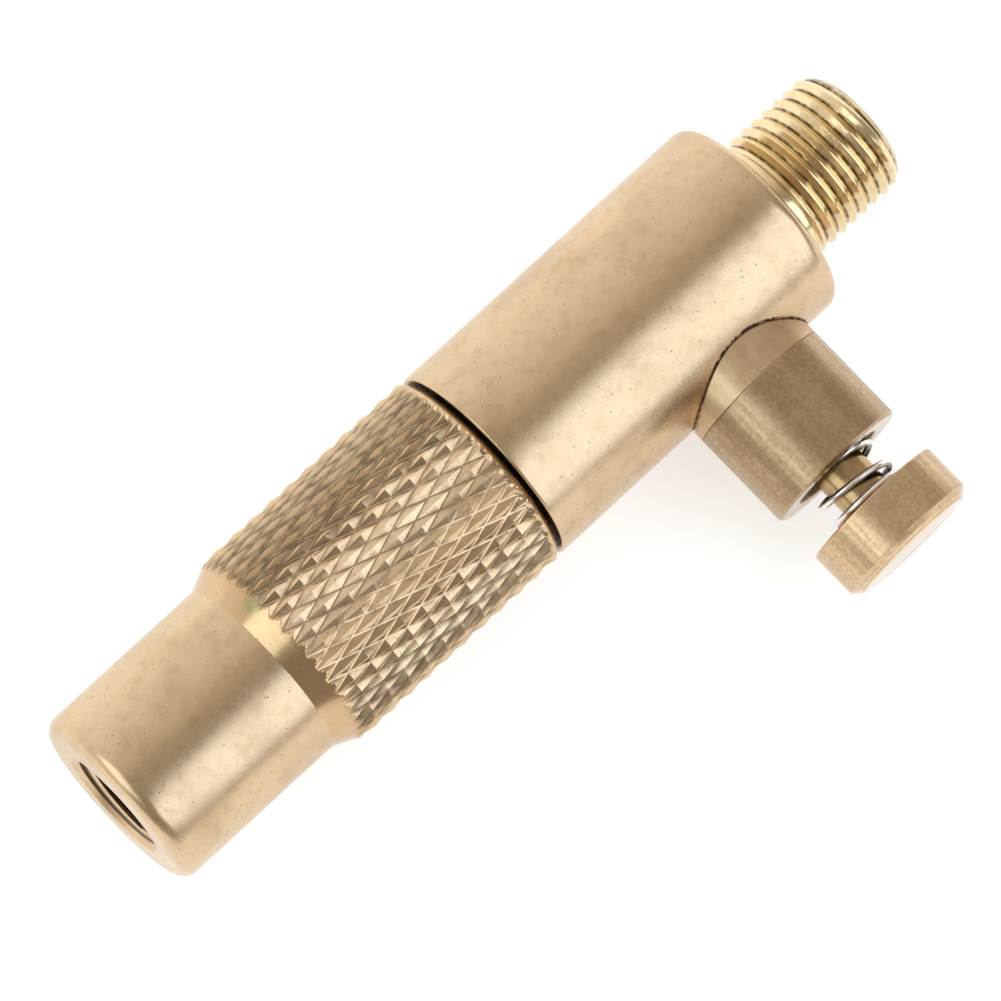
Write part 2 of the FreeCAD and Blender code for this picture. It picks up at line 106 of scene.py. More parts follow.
# Sizes of the surfaces that the boxes don't give.
BARREL_LENGTH = 26.6
JOURNAL_RADIUS, JOURNAL_LENGTH = 5.8, 7.6
SPIGOT_THREAD_RADIUS = 5.5
MAIN_BORE_RADIUS = 3.1
STUB_RADIUS = 4.0
NIPPLE_BORE_RADIUS = 2.5
GUIDE_RADIUS, GUIDE_LENGTH = 5.85, 8.6
GROOVE_START, GROOVE_END, GROOVE_RADIUS = 2.1, 4.1, 6.8
WEB_HOLE_RADIUS = 1.5
MOUTH_BEVEL = 0.4
KNURL_LENGTH, CONE_LENGTH, NOSE_RADIUS, NOSE_ROUND = 18.3, 2.2, 7.1, 1.1
OUTLET_RADIUS, OUTLET_PITCH, OUTLET_THREAD_DEPTH = 3.85, 0.794, 0.42
OUTLET_BEVEL = 0.38
INLET_PITCH, INLET_THREAD_DEPTH = 1.0, 0.38
NECK_LENGTH, NECK_RADIUS = 1.1, THREAD_RADIUS - 0.3
STEM_RADIUS, STEM_CLEARANCE, CAP_STUD_RADIUS = 1.9, 0.2, 1.5
HEAD_RADIUS, HEAD_FACE = 3.2, 5.1
SPIGOT_RADIUS = 4.0
SPRING_POCKET_RADIUS, SPRING_POCKET_DEPTH = 3.55, 2.5
SPRING_WIRE, SPRING_PITCH = 0.45, 2.0
CROSS_BORE_FLOOR = 0.8
KNURL_GROOVES = 42
KNURL_LEAD = 3.42
KNURL_STEPS = 20
KNURL_DEPTH = 0.31

# Points of a mesh that are closer than this, in millimetres, are one point.
WELD = 0.0002
# Edges that bend by more than this many degrees are sharp.
CREASE = 30


# ---------------------------------------------------------------- mesh tools

class Axis:
    """A turning axis: points are given as distance along it, radius and angle."""

    def __init__(self, origin, along, side):
        self.origin = np.array(origin, float)
        self.along = np.array(along, float)
        self.side = np.array(side, float)
        self.third = np.cross(self.along, self.side)

    def points(self, along, radius, angle):
        along, radius, angle = np.broadcast_arrays(along, radius, angle)
        spoke = np.cos(angle)[..., None] * self.side + np.sin(angle)[..., None] * self.third
        return self.origin + along[..., None] * self.along + radius[..., None] * spoke


MAIN = Axis((0, 0, 0), (1, 0, 0), (0, 1, 0))
NOSEWARD = Axis((0, 0, 0), (-1, 0, 0), (0, 1, 0))
SLEEVE = Axis((SLEEVE_START, 0, 0), (-1, 0, 0), (0, 1, 0))
BUTTON = Axis((BUTTON_X, 0, 0), (0, -1, 0), (1, 0, 0))


def angles(spokes, shift=0.0):
    return (np.arange(spokes) + shift) / spokes * TURN


def rounded(outline, steps=4):
    """Replaces each corner that states a round with an arc. Points are (along, radius, round)."""
    result = []
    count = len(outline)
    for index, (along, radius, size) in enumerate(outline):
        here = Vector((along, radius))
        if size <= 0:
            result.append(tuple(here))
            continue
        before = (Vector(outline[index - 1][:2]) - here).normalized()
        after = (Vector(outline[(index + 1) % count][:2]) - here).normalized()
        half = before.angle(after) / 2
        reach_back = size / math.tan(half)
        start, end = here + before * reach_back, here + after * reach_back
        centre = here + (before + after).normalized() * (size / math.sin(half))
        first, last = start - centre, end - centre
        sweep = first.angle_signed(last)
        for step in range(steps + 1):
            turned = Matrix.Rotation(-sweep * step / steps, 2) @ first
            result.append(tuple(centre + turned))
    return result


def divided(profile, longest):
    """Adds points so that no step of the profile is longer than the limit."""
    result = []
    for (a, r), (b, q) in zip(profile, profile[1:]):
        count = max(1, math.ceil(math.hypot(b - a, q - r) / longest))
        for step in range(count):
            result.append((a + (b - a) * step / count, r + (q - r) * step / count))
    result.append(profile[-1])
    return result


class Skin:
    """Collects rings of points into a surface, and welds it where rings meet."""

    def __init__(self):
        self.points = []
        self.faces = []
        self.last = None

    def add(self, points):
        """Stores points and returns their numbers in the same arrangement."""
        points = np.asarray(points, float)
        first = len(self.points)
        self.points.extend(points.reshape(-1, 3))
        return first + np.arange(points.size // 3).reshape(points.shape[:-1])

    def face(self, *corners):
        """Adds faces, given the numbers of all their first corners, second corners and so on."""
        self.faces += np.stack([np.ravel(c) for c in corners], axis=-1).tolist()

    def follow(self, first, last):
        if self.last is not None:
            self.join(self.last, first)
        self.last = last

    def ring(self, points):
        ring = self.add(points)
        self.follow(ring, ring)

    def join(self, ring, following):
        """Joins two rings. One may have a whole number of times as many points as the other."""
        if len(ring) == len(following):
            self.face(ring, np.roll(ring, -1), np.roll(following, -1), following)
            return
        coarse, fine = sorted((ring, following), key=len)
        ratio = len(fine) // len(coarse)
        near = fine.reshape(-1, ratio)
        far = np.roll(fine, -1).reshape(-1, ratio)
        for step in range(ratio):
            corner = coarse if step < ratio // 2 else np.roll(coarse, -1)
            self.face(near[:, step], far[:, step], corner)
        self.face(near[:, ratio // 2], np.roll(coarse, -1), coarse)

    def relief(self, points, centres):
        """Rows of rings with a raised pattern. Every cell is split along the diagonal that passes
        nearer to the surface at the cell's centre, which keeps its creases straight."""
        rows = self.add(points)
        self.follow(rows[0], rows[-1])
        numbers = (rows[:-1], np.roll(rows, -1, 1)[:-1], np.roll(rows, -1, 1)[1:], rows[1:])
        beside = np.roll(points, -1, 1)
        rising = np.linalg.norm((points[:-1] + beside[1:]) / 2 - centres, axis=-1)
        falling = np.linalg.norm((beside[:-1] + points[1:]) / 2 - centres, axis=-1)
        for split, corners in ((rising <= falling, (0, 1, 2, 0, 2, 3)),
                               (rising > falling, (0, 1, 3, 1, 2, 3))):
            picked = [numbers[k][split] for k in corners]
            self.face(*picked[:3])
            self.face(*picked[3:])

    def helix(self, surface, start, end, pitch, rows, spokes):
        """A threaded stretch from start to end, whose rows climb with the thread. surface gives
        the points for distances along the axis and angles."""
        way = 1 if end > start else -1
        turns = math.ceil(abs(end - start) / pitch) + 2
        climb = way * (np.arange(turns * rows + 1)[:, None] / rows - 1)
        share = np.arange(spokes) / spokes
        along = np.clip(start + pitch * (climb + share), min(start, end), max(start, end))
        numbers = self.add(surface(along, np.broadcast_to(share * TURN, along.shape)))
        self.follow(numbers[0], numbers[-1])
        self.face(numbers[:-1, :-1], numbers[:-1, 1:], numbers[1:, 1:], numbers[1:, :-1])
        seam, start_column = numbers[:, -1], numbers[:, 0]
        seam, start_column = ((seam[:-rows], start_column[rows:]) if way == 1
                              else (seam[rows:], start_column[:-rows]))
        self.face(seam[:-1], start_column[:-1], start_column[1:], seam[1:])

    def finish(self, name, crease=CREASE):
        """Makes a smooth-shaded object, with edges sharp above crease."""
        mesh = bpy.data.meshes.new(name)
        mesh.from_pydata((np.array(self.points) * MM).tolist(), [], self.faces)
        work = bmesh.new()
        work.from_mesh(mesh)
        bmesh.ops.remove_doubles(work, verts=work.verts, dist=WELD * MM)
        bmesh.ops.dissolve_degenerate(work, edges=work.edges, dist=WELD * MM)
        bmesh.ops.recalc_face_normals(work, faces=work.faces)
        if work.calc_volume(signed=True) < 0:
            bmesh.ops.reverse_faces(work, faces=work.faces)
        work.to_mesh(mesh)
        work.free()
        obj = bpy.data.objects.new(name, mesh)
        bpy.context.scene.collection.objects.link(obj)
        mesh.shade_smooth()
        mesh.set_sharp_from_angle(angle=math.radians(crease))
        return obj


def lathe(name, axis, profile, spokes=160, longest=None):
    """A turned piece from an outline of (along, radius), which closes on its first point."""
    profile = list(profile) + [profile[0]]
    if longest:
        profile = divided(profile, longest)
    skin = Skin()
    theta = angles(spokes)
    for along, radius in profile:
        skin.ring(axis.points(along, radius, theta))
    return skin.finish(name)


def weighted(obj):
    """Keeps flat faces flat beside their small rounded edges."""
    modifier = obj.modifiers.new("weighted_normals", "WEIGHTED_NORMAL")
    modifier.keep_sharp = True
    return obj


def thread_height(phase, crest, root):
    """0 at the root and 1 at the crest of a thread, for a phase in turns. crest and root are the
    shares of the pitch that are flat."""
    ramp = np.abs(2 * (phase % 1.0) - 1)
    return np.clip((ramp - root) / (1 - root - crest), 0, 1)


# ---------------------------------------------------------------- materials

# Base colours.
BRASS = (0.66, 0.49, 0.305)
TARNISH = (0.49, 0.335, 0.19)
# GRIME_AND_SHADE is the dark of dirt in pits and spots, and also of painted shade at the boss's
# root, in the gap behind the sleeve and on the spring's inner half.
GRIME_AND_SHADE = (0.055, 0.038, 0.026)
THREAD_BRASS = (0.82, 0.66, 0.39)
STEM_BRASS = (0.50, 0.35, 0.17)
CONE_BRASS = (0.58, 0.38, 0.19)
# ROOT_FILM_AND_SHADE is a brown film with painted shade at the inlet thread's roots.
ROOT_FILM_AND_SHADE = (0.115, 0.062, 0.026)
VERDIGRIS = (0.30, 0.33, 0.15)
WIRE, OILED_WIRE = (0.85, 0.85, 0.86), (0.5, 0.45, 0.4)
STAINLESS, DULL_STAINLESS = (0.60, 0.59, 0.57), (0.50, 0.49, 0.47)
BRONZE, BROWN_BRONZE = (0.50, 0.31, 0.15), (0.40, 0.28, 0.16)
RUBBER, BLOOMED_RUBBER = (0.018, 0.018, 0.019), (0.05, 0.05, 0.05)
PLASTIC, AGED_PLASTIC = (0.83, 0.82, 0.78), (0.72, 0.70, 0.64)
FLOOR_PAINT, FLOOR_SHADE = (0.80, 0.80, 0.80), (0.83, 0.83, 0.82)


def toned(colour, tone):
    return tuple(tone * c for c in colour)


class Graph:
    """The nodes of one material. A value is a number, a colour or another node's output."""

    def __init__(self, name, metallic=1.0):
        self.material = bpy.data.materials.new(name)
        self.material.use_nodes = True
        self.tree = self.material.node_tree
        self.tree.nodes.clear()
        self.shader = self.node("ShaderNodeBsdfPrincipled")
        self.shader.inputs["Metallic"].default_value = metallic
        output = self.node("ShaderNodeOutputMaterial")
        self.tree.links.new(self.shader.outputs["BSDF"], output.inputs["Surface"])
        source = self.node("ShaderNodeTexCoord")
        self.normal = source.outputs["Normal"]
        self.place = self.vector("SCALE", source.outputs["Object"], scale=1 / MM)

    def node(self, kind, **settings):
        made = self.tree.nodes.new(kind)
        for key, value in settings.items():
            setattr(made, key, value)
        return made

    def feed(self, socket, value):
        if isinstance(value, bpy.types.NodeSocket):
            self.tree.links.new(value, socket)
        elif socket.type == "RGBA":
            socket.default_value = (*value, 1)
        else:
            socket.default_value = value

    def math(self, operation, *values):
        """One operation. More than two values are taken two at a time."""
        if len(values) > 2:
            values = (values[0], self.math(operation, *values[1:]))
        made = self.node("ShaderNodeMath", operation=operation)
        for socket, value in zip(made.inputs, values):
            self.feed(socket, value)
        return made.outputs[0]

    def vector(self, operation, *values, scale=None):
        made = self.node("ShaderNodeVectorMath", operation=operation)
        for socket, value in zip(made.inputs, values):
            self.feed(socket, value)
        if scale is not None:
            made.inputs["Scale"].default_value = scale
        return made.outputs["Value" if operation == "LENGTH" else "Vector"]

    def part(self, vector, axis):
        made = self.node("ShaderNodeSeparateXYZ")
        self.feed(made.inputs[0], vector)
        return made.outputs[axis]

    def stretched(self, factors, turn=0.0):
        """The place turned about Z and then scaled, so that a pattern runs one way."""
        made = self.node("ShaderNodeMapping", vector_type="TEXTURE")
        made.inputs["Rotation"].default_value = (0, 0, turn)
        made.inputs["Scale"].default_value = tuple(1 / f for f in factors)
        self.feed(made.inputs["Vector"], self.place)
        return made.outputs[0]

    def between(self, value, low, high, start=0.0, end=1.0):
        """start where the value is below low, end where it is above high, smooth between them."""
        made = self.node("ShaderNodeMapRange", interpolation_type="SMOOTHSTEP")
        for socket, given in zip(made.inputs, (value, low, high, start, end)):
            self.feed(socket, given)
        return made.outputs["Result"]

    def noise(self, scale, detail, place=None):
        """Noise with scale bumps a millimetre and detail finer layers."""
        made = self.node("ShaderNodeTexNoise")
        self.feed(made.inputs["Vector"], place or self.place)
        made.inputs["Scale"].default_value = scale
        made.inputs["Detail"].default_value = detail
        return made.outputs["Fac"]

    def spots(self, factors, core, edge, turn=0.0):
        """Scattered spots or dashes: 1 inside core and 0 outside edge, in cells of the pattern."""
        made = self.node("ShaderNodeTexVoronoi")
        self.feed(made.inputs["Vector"], self.stretched(factors, turn))
        made.inputs["Scale"].default_value = 1.0
        return self.between(made.outputs["Distance"], core, edge, 1.0, 0.0)

    def mix(self, share, first, second):
        made = self.node("ShaderNodeMix", data_type="RGBA")
        for index, value in ((0, share), (6, first), (7, second)):
            self.feed(made.inputs[index], value)
        return made.outputs[2]

    def radius(self, axis):
        """Distance from the main axis, "X", or from the button's axis, "Y"."""
        away = self.vector("SUBTRACT", self.place, (BUTTON_X if axis == "Y" else 0, 0, 0))
        kept = (0, 1, 1) if axis == "X" else (1, 0, 1)
        return self.vector("LENGTH", self.vector("MULTIPLY", away, kept))

    def finish(self, colour, roughness, height=None, depth=0.0):
        """Sets the shader. depth is the bump's height in millimetres."""
        self.feed(self.shader.inputs["Base Color"], colour)
        self.feed(self.shader.inputs["Roughness"], roughness)
        if height is not None:
            bump = self.node("ShaderNodeBump")
            bump.inputs["Distance"].default_value = depth * MM
            self.feed(bump.inputs["Height"], height)
            self.feed(self.shader.inputs["Normal"], bump.outputs[0])
        return self.material


def tumbled(graph):
    """Colour, roughness and height of tumbled brass: cloudy, grained, pitted and scratched."""
    cloud = graph.between(graph.noise(0.2, 3), 0.42, 0.72, 0.0, 0.45)
    grain = graph.noise(6, 4)
    mottle = graph.between(graph.noise(1.1, 2), 0.45, 0.75, 0.0, 0.35)
    flecks = graph.between(grain, 0.5, 0.8, 0.0, 0.3)
    colour = graph.mix(graph.math("ADD", cloud, mottle, flecks), BRASS, TARNISH)
    pits = graph.spots((1.5, 1.5, 1.5), 0.04, 0.1)
    nicks = graph.math(
        "MAXIMUM",
        graph.spots((0.22, 3.2, 3.2), 0.02, 0.07, turn=0.5),
        graph.spots((0.3, 3.0, 3.0), 0.02, 0.07, turn=-0.8),
    )
    dark = graph.math("MAXIMUM", pits, graph.math("MULTIPLY", nicks, 0.5))
    colour = graph.mix(graph.math("MULTIPLY", dark, 0.75), colour, GRIME_AND_SHADE)
    roughness = graph.math(
        "ADD",
        graph.between(grain, 0.3, 0.8, 0.25, 0.3),
        graph.math("MULTIPLY", cloud, 0.08),
    )
    height = graph.math("SUBTRACT", graph.math("MULTIPLY", mottle, 0.5), dark)
    return colour, roughness, height


def boss_root_dirt_and_shade(graph, noise):
    """1 in the line where the boss meets the barrel, which is painted shade broken into dirt
    specks.
    """
    ring = graph.math("ABSOLUTE", graph.math("SUBTRACT", graph.radius("Y"), BOSS_RADIUS))
    near = graph.between(ring, 0.04, 0.16, 1.0, 0.0)
    front = graph.between(graph.part(graph.place, "Y"), -3.0, -2.5, 1.0, 0.0)
    close = graph.between(graph.radius("X"), BARREL_RADIUS + 0.02, BARREL_RADIUS + 0.16, 1.0, 0.0)
    speckle = graph.between(noise, 0.4, 0.52, 0.1, 1.0)
    return graph.math("MULTIPLY", near, front, close, speckle)


def make_satin_brass():
    """The barrel: tumbled, with the root line darkened by dirt specks and painted shade, and
    painted shade in the gap behind the sleeve.
    """
    graph = Graph("satin_brass")
    colour, roughness, height = tumbled(graph)
    root = boss_root_dirt_and_shade(graph, graph.noise(2.6, 1))
    along = graph.part(graph.place, "X")
    shoulder, gap_end = -BARREL_LENGTH, -BARREL_LENGTH - 0.5
    # Painted shade on the journal in the gap behind the sleeve, varied a little by noise.
    gap_shade = graph.math(
        "MULTIPLY",
        graph.between(along, shoulder - 0.06, shoulder + 0.02, 1.0, 0.0),
        graph.between(along, gap_end - 0.4, gap_end),
        graph.between(graph.radius("X"), BARREL_RADIUS - 0.35, BARREL_RADIUS - 0.2, 1.0, 0.0),
        graph.between(graph.noise(0.8, 3), 0.3, 0.6, 0.75, 1.0),
    )
    dirt_and_shade = graph.math("MAXIMUM", root, gap_shade)
    colour = graph.mix(dirt_and_shade, colour, GRIME_AND_SHADE)
    roughness = graph.math("MAXIMUM", roughness, graph.math("MULTIPLY", dirt_and_shade, 0.8))
    return graph.finish(colour, roughness, height, 0.012)


def make_collar_brass():
    """The saddle: duller than the barrel, with the root line darkened by dirt specks and painted
    shade, and turning streaks.
    """
    graph = Graph("collar_brass")
    colour, roughness, height = tumbled(graph)
    streaks = graph.noise(2.0, 3, graph.stretched((1.0, 0.05, 1.0)))
    colour = graph.mix(graph.between(streaks, 0.4, 0.65, 0.0, 0.35), colour, TARNISH)
    root = boss_root_dirt_and_shade(graph, graph.noise(2.6, 1))
    colour = graph.mix(root, colour, GRIME_AND_SHADE)
    return graph.finish(colour, graph.math("ADD", roughness, 0.12), height, 0.012)


def make_knurled_brass():
    """The sleeve: tumbled, with a dirt film and painted shade in the knurl's grooves, and painted
    shade on the end face at the barrel and in the outlet.
    """
    graph = Graph("knurled_brass")
    colour, roughness, height = tumbled(graph)
    radius = graph.radius("X")
    along = graph.part(graph.place, "X")
    across = graph.part(graph.place, "Y")
    cone_start = SLEEVE_START - KNURL_LENGTH
    cone_end = cone_start - CONE_LENGTH

    # A dirt film in the knurl's grooves, darkened more on two sides of the sleeve by painted
    # shade.
    grip = graph.between(along, cone_start - 1.0, cone_start - 0.2)
    groove_floor, groove_top = KNURL_RADIUS - KNURL_DEPTH, KNURL_RADIUS - 0.4 * KNURL_DEPTH
    low = graph.between(radius, groove_floor, groove_top, 1.0, 0.0)
    film = graph.between(graph.noise(1.1, 3), 0.35, 0.65, 0.0, 0.3)
    shaded_sides = graph.math(
        "MAXIMUM",
        graph.between(across, 0.5, 4.5, 0.0, 0.45),
        graph.between(across, -7.0, -5.5, 0.55, 0.0),
    )
    groove_dirt_and_shade = graph.math("MULTIPLY", grip, low, graph.math("ADD", film, shaded_sides))

    # Painted shade on the end face in the gap at the barrel, at the foot of the outlet's thread
    # and deep inside it.
    gap_face_shade = graph.between(along, SLEEVE_START - 0.04, SLEEVE_START - 0.01)
    inside = graph.between(along, SLEEVE_END + 0.3, SLEEVE_END + 0.42)
    foot_shade = graph.between(radius, OUTLET_RADIUS - 0.24, OUTLET_RADIUS - 0.1, 0.0, 0.85)
    deep_shade = graph.between(along, SLEEVE_END + 1.15, SLEEVE_END + 1.4, 0.0, 0.95)
    narrow = graph.between(radius, OUTLET_RADIUS + 0.02, OUTLET_RADIUS + 0.12, 1.0, 0.0)
    outlet_shade = graph.math("MULTIPLY", graph.math("MAXIMUM", foot_shade, deep_shade), narrow, inside)
    dirt_and_shade = graph.math("MAXIMUM", groove_dirt_and_shade, gap_face_shade, outlet_shade)
    colour = graph.mix(dirt_and_shade, colour, toned(TARNISH, 0.2))

    # The cone is freshly turned, with a green stain at the knurl's edge.
    turned = graph.math(
        "MULTIPLY",
        graph.between(along, cone_end - 0.1, cone_end + 0.05),
        graph.between(radius, KNURL_RADIUS - 0.1, KNURL_RADIUS - 0.02, 1.0, 0.0),
        graph.between(along, cone_start - 0.5, cone_start, 1.0, 0.0),
    )
    colour = graph.mix(graph.math("MULTIPLY", turned, 0.55), colour, CONE_BRASS)
    stain_centre = (cone_start - 1.1, 3.0, 7.7)
    away = graph.vector("LENGTH", graph.vector("SUBTRACT", graph.place, stain_centre))
    stain = graph.math(
        "MULTIPLY",
        graph.between(away, 0.5, 1.3, 0.75, 0.0),
        graph.between(graph.noise(1.8, 3), 0.35, 0.55),
    )
    colour = graph.mix(stain, colour, VERDIGRIS)

    dulled = graph.math("ADD", roughness, graph.math("MULTIPLY", dirt_and_shade, 0.2))
    bright = graph.math("MULTIPLY", graph.math("MAXIMUM", grip, turned), 0.11)
    return graph.finish(colour, graph.math("SUBTRACT", dulled, bright), height, 0.012)


def make_turned_brass(name, tone, axis="Y"):
    """Bar stock: streaks along the axis, fine rings from the tool and rings on the end faces."""
    graph = Graph(name)
    index = "XYZ".index(axis)
    lengthways = [0.04 if k == index else 1.0 for k in range(3)]
    crossways = [1.0 if k == index else 0.02 for k in range(3)]
    streaks = graph.noise(2.2, 4, graph.stretched(lengthways))
    marks = graph.noise(9.0, 2, graph.stretched(crossways))
    outward = graph.node("ShaderNodeCombineXYZ")
    graph.feed(outward.inputs[0], graph.radius(axis))
    rings = graph.noise(6.0, 2, outward.outputs[0])
    end_face = graph.between(graph.math("ABSOLUTE", graph.part(graph.normal, axis)), 0.6, 0.8)
    side = graph.math(
        "ADD",
        graph.math("MULTIPLY", streaks, 0.75),
        graph.math("MULTIPLY", marks, 0.25),
    )
    pattern = graph.math(
        "ADD",
        graph.math("MULTIPLY", rings, end_face),
        graph.math("MULTIPLY", side, graph.math("SUBTRACT", 1.0, end_face)),
    )
    worn = graph.math(
        "ADD",
        graph.between(graph.noise(3.5, 4), 0.4, 0.65, 0.0, 0.5),
        graph.between(pattern, 0.35, 0.65, 0.0, 0.6),
        graph.between(graph.noise(0.35, 3), 0.4, 0.7, 0.0, 0.3),
    )
    colour = graph.mix(worn, toned(BRASS, tone), toned(TARNISH, tone))
    spots = graph.spots((1.1, 1.1, 1.1), 0.03, 0.09)
    colour = graph.mix(graph.math("MULTIPLY", spots, 0.6), colour, GRIME_AND_SHADE)
    roughness = graph.between(pattern, 0.3, 0.7, 0.26, 0.38)
    roughness = graph.math("SUBTRACT", roughness, graph.math("MULTIPLY", end_face, 0.19))
    return graph.finish(colour, roughness, graph.math("SUBTRACT", pattern, spots), 0.004)


def make_thread_brass():
    """Bright turned brass with a brown film and painted shade at the foot of the thread."""
    graph = Graph("thread_brass")
    along = graph.part(graph.place, "X")
    film = graph.noise(1.6, 4)
    floor = THREAD_RADIUS - INLET_THREAD_DEPTH
    # The roots are darkened by a brown film and painted shade, only on the threaded stretch, less
    # near its end and not on the end itself.
    deep_shade = graph.math(
        "MULTIPLY",
        graph.between(graph.radius("X"), floor + 0.02, floor + 0.1, 1.0, 0.0),
        graph.between(film, 0.3, 0.6, 0.45, 0.95),
        graph.between(along, NECK_LENGTH - 0.2, NECK_LENGTH + 0.1),
        graph.between(along, THREAD_END - 0.55, THREAD_END - 0.35, 1.0, 0.5),
        graph.between(along, THREAD_END - 0.03, THREAD_END - 0.01, 1.0, 0.0),
    )
    colour = graph.mix(graph.between(film, 0.45, 0.7, 0.0, 0.45), THREAD_BRASS, BRASS)
    colour = graph.mix(deep_shade, colour, ROOT_FILM_AND_SHADE)
    chatter = graph.noise(5.0, 3, graph.stretched((2.0, 0.6, 0.6)))
    roughness = graph.between(chatter, 0.3, 0.7, 0.10, 0.20)
    return graph.finish(colour, roughness, chatter, 0.006)


def make_stem_brass():
    """Yellow turned brass with a brown film, and rings from the tool."""
    graph = Graph("stem_brass")
    rings = graph.noise(7.0, 2, graph.stretched((0.05, 1.0, 0.05)))
    film = graph.noise(0.9, 3)
    colour = graph.mix(graph.between(film, 0.35, 0.7), STEM_BRASS, toned(TARNISH, 0.7))
    roughness = graph.between(rings, 0.3, 0.7, 0.14, 0.26)
    return graph.finish(colour, roughness, rings, 0.004)


def make_spring_steel():
    """Bright drawn wire with draw lines, a trace of oil and painted shade on the coil's inner
    half.
    """
    graph = Graph("spring_steel")
    lines = graph.noise(9.0, 2, graph.stretched((0.3, 1.0, 0.3)))
    oil = graph.noise(1.2, 3)
    colour = graph.mix(graph.between(oil, 0.45, 0.7, 0.0, 0.3), WIRE, OILED_WIRE)
    mean = SPRING_RADIUS - SPRING_WIRE / 2
    # Painted shade: the inner half of the wire is darkened toward the grime colour.
    painted_dark_flank = graph.between(graph.radius("Y"), mean, mean + 0.11, 0.93, 0.0)
    colour = graph.mix(painted_dark_flank, colour, GRIME_AND_SHADE)
    roughness = graph.between(lines, 0.3, 0.7, 0.08, 0.18)
    return graph.finish(colour, roughness, lines, 0.003)


def make_needle_steel():
    """Ground stainless steel, with rings from the wheel."""
    graph = Graph("needle_steel")
    rings = graph.noise(12.0, 2, graph.stretched((1.0, 0.02, 0.02)))
    cloud = graph.noise(0.8, 2)
    colour = graph.mix(graph.between(cloud, 0.35, 0.7), STAINLESS, DULL_STAINLESS)
    return graph.finish(colour, graph.between(rings, 0.3, 0.7, 0.16, 0.3), rings, 0.003)


def make_sintered_bronze():
    """Fused bronze grains with open pores between them."""
    graph = Graph("sintered_bronze")
    cells = graph.node("ShaderNodeTexVoronoi")
    graph.feed(cells.inputs["Vector"], graph.place)
    cells.inputs["Scale"].default_value = 3.2
    distance = cells.outputs["Distance"]
    pores = graph.between(distance, 0.4, 0.75)
    tint = graph.mix(graph.noise(2.0, 2), BRONZE, BROWN_BRONZE)
    colour = graph.mix(pores, tint, toned(GRIME_AND_SHADE, 0.8))
    roughness = graph.between(pores, 0.0, 1.0, 0.35, 0.8)
    return graph.finish(colour, roughness, graph.math("SUBTRACT", 1.0, distance), 0.08)


def make_seal_rubber():
    """Moulded black rubber with a faint bloom."""
    graph = Graph("seal_rubber", metallic=0.0)
    bloom = graph.noise(1.5, 4)
    grain = graph.noise(10.0, 3)
    colour = graph.mix(graph.between(bloom, 0.45, 0.75), RUBBER, BLOOMED_RUBBER)
    return graph.finish(colour, graph.between(bloom, 0.3, 0.7, 0.42, 0.6), grain, 0.01)


def make_seat_plastic():
    """Turned white plastic, with rings from the tool."""
    graph = Graph("seat_plastic", metallic=0.0)
    rings = graph.noise(9.0, 2, graph.stretched((1.0, 0.05, 0.05)))
    cloud = graph.noise(0.7, 3)
    colour = graph.mix(graph.between(cloud, 0.3, 0.7), PLASTIC, AGED_PLASTIC)
    return graph.finish(colour, graph.between(rings, 0.3, 0.7, 0.35, 0.5), rings, 0.006)


def dress(obj, material):
    obj.data.materials.clear()
    obj.data.materials.append(material)
    return obj


# ---------------------------------------------------------------- the barrel and nipple

def make_barrel(material):
    """The plain barrel and its spigot, with the main bore and the button's cross bore."""
    spigot_end = -BARREL_END
    journal_end = BARREL_LENGTH + JOURNAL_LENGTH
    stub_seal_room = 1.0
    stub_floor = stub_seal_room - STUB_END
    profile = rounded([
        (0, STUB_RADIUS, 0),
        (0, BARREL_RADIUS, 1.0),
        (BARREL_LENGTH, BARREL_RADIUS, 0.2),
        (BARREL_LENGTH, JOURNAL_RADIUS, 0.1),
        (journal_end, JOURNAL_RADIUS, 0.1),
        (journal_end, SPIGOT_THREAD_RADIUS, 0),
        (spigot_end, SPIGOT_THREAD_RADIUS, 0.25),
        (spigot_end, CARRIER_RADIUS, 0.1),
        (CARRIER_SEAT, CARRIER_RADIUS, 0),
        (CARRIER_SEAT, MAIN_BORE_RADIUS, 0),
        (stub_floor, MAIN_BORE_RADIUS, 0),
        (stub_floor, STUB_RADIUS, 0),
    ], steps=8)
    barrel = lathe("barrel", NOSEWARD, profile, spokes=240, longest=0.6)
    cutter = lathe(
        "cross_bore_cutter", BUTTON,
        [(-CROSS_BORE_FLOOR, 0), (-CROSS_BORE_FLOOR, SPIGOT_RADIUS),
         (CAP_END, SPIGOT_RADIUS), (CAP_END, 0)],
        spokes=96,
    )
    cut = barrel.modifiers.new("cross_bore", "BOOLEAN")
    cut.operation = "DIFFERENCE"
    cut.solver = "EXACT"
    cut.object = cutter
    graph = bpy.context.evaluated_depsgraph_get()
    made = bpy.data.meshes.new_from_object(barrel.evaluated_get(graph))
    barrel.modifiers.clear()
    barrel.data = made
    made.shade_smooth()
    made.set_sharp_from_angle(angle=math.radians(CREASE))
    bpy.data.objects.remove(cutter)
    weighted(barrel)
    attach(barrel, "barrel")
    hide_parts("valve_body")
    return dress(barrel, material)


